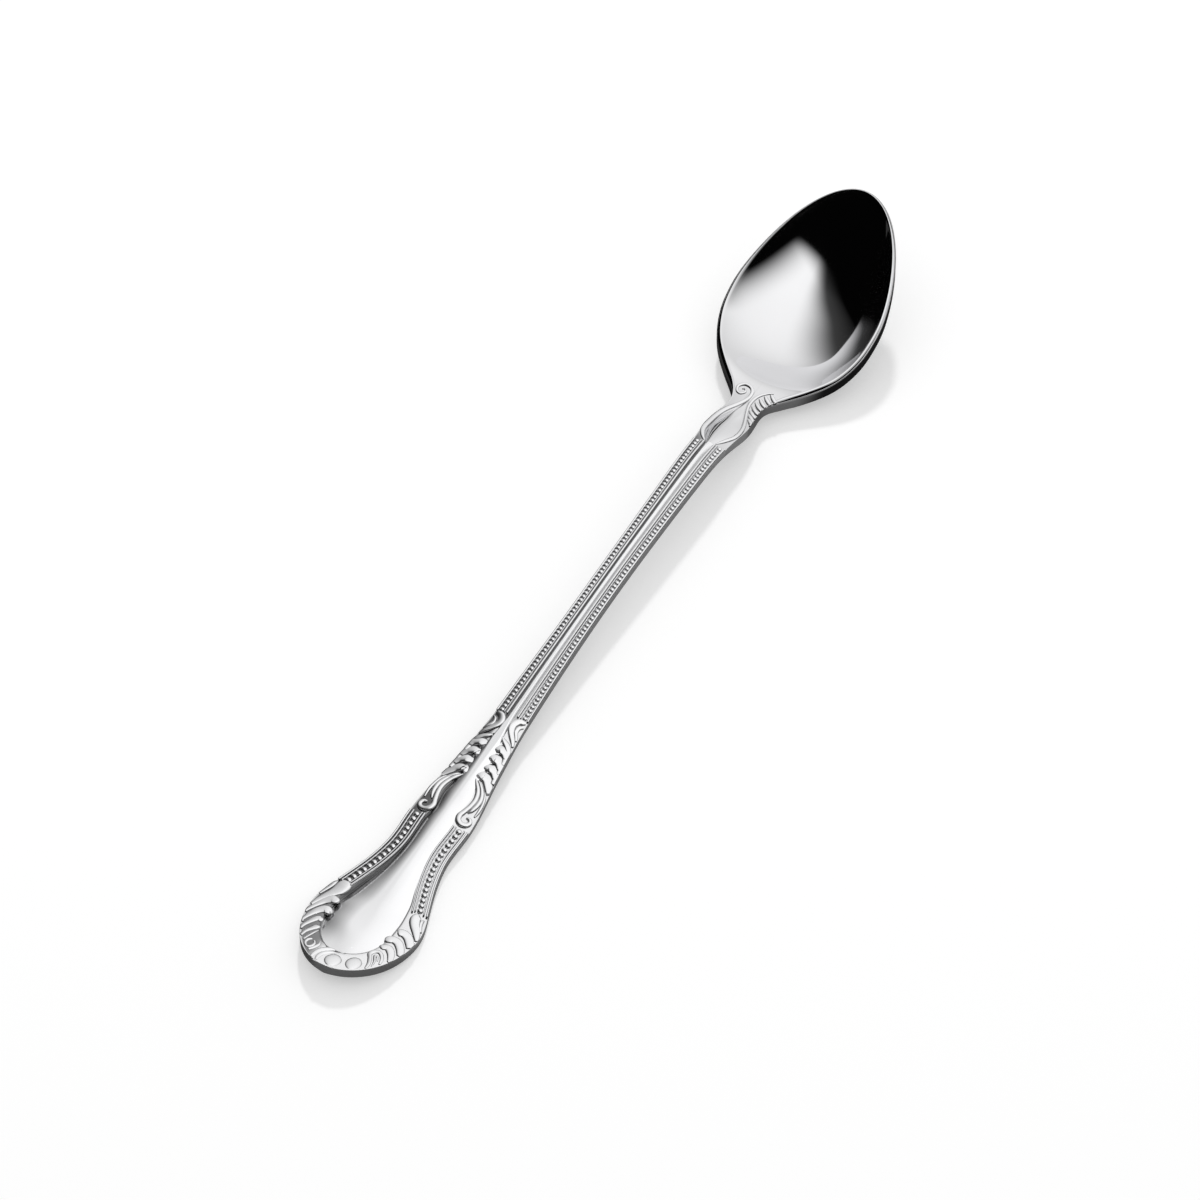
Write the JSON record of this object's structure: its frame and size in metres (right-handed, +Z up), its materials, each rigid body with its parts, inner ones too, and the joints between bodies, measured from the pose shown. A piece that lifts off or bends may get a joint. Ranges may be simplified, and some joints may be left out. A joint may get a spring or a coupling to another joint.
{
  "type": "iced tea spoon",
  "caption": "Long-handled iced tea spoon with an egg-shaped bowl, beaded stem, scrolled shoulder and a broad ornamented handle end.",
  "frame": {"origin": "middle of the spoon's length and width, at the height of the surface it lies on, bowl upward", "axes": "+X from the handle tip towards the bowl tip, +Y to the spoon's left, +Z up out of the bowl"},
  "size_m": [0.1904, 0.0292, 0.0186],
  "materials": {
    "mirror_steel": "mirror polish",
    "struck_steel": "bright relief on a satin face"
  },
  "bodies": {
    "root": {"bowl": "mirror_steel", "neck": "mirror_steel", "stem": "struck_steel", "shoulder": "struck_steel", "handle_end": "struck_steel", "left_stem_beads": "struck_steel", "right_stem_beads": "struck_steel", "left_stem_rims": "struck_steel", "right_stem_rims": "struck_steel", "left_border_beads": "struck_steel", "right_border_beads": "struck_steel", "left_border_rims": "struck_steel", "right_border_rims": "struck_steel", "left_shoulder_volute": "struck_steel", "right_shoulder_volute": "struck_steel", "left_shoulder_flutes": "struck_steel", "right_shoulder_flutes": "struck_steel", "left_shoulder_leaf": "struck_steel", "right_shoulder_leaf": "struck_steel", "left_tip_leaf": "struck_steel", "left_tip_flutes": "struck_steel", "tip_volute": "struck_steel", "tip_shell": "struck_steel", "tip_boss": "struck_steel", "tip_scroll": "struck_steel", "right_tip_flutes": "struck_steel", "right_tip_leaf": "struck_steel", "neck_scroll": "struck_steel", "neck_leaf": "struck_steel"}
  },
  "joints": []
}
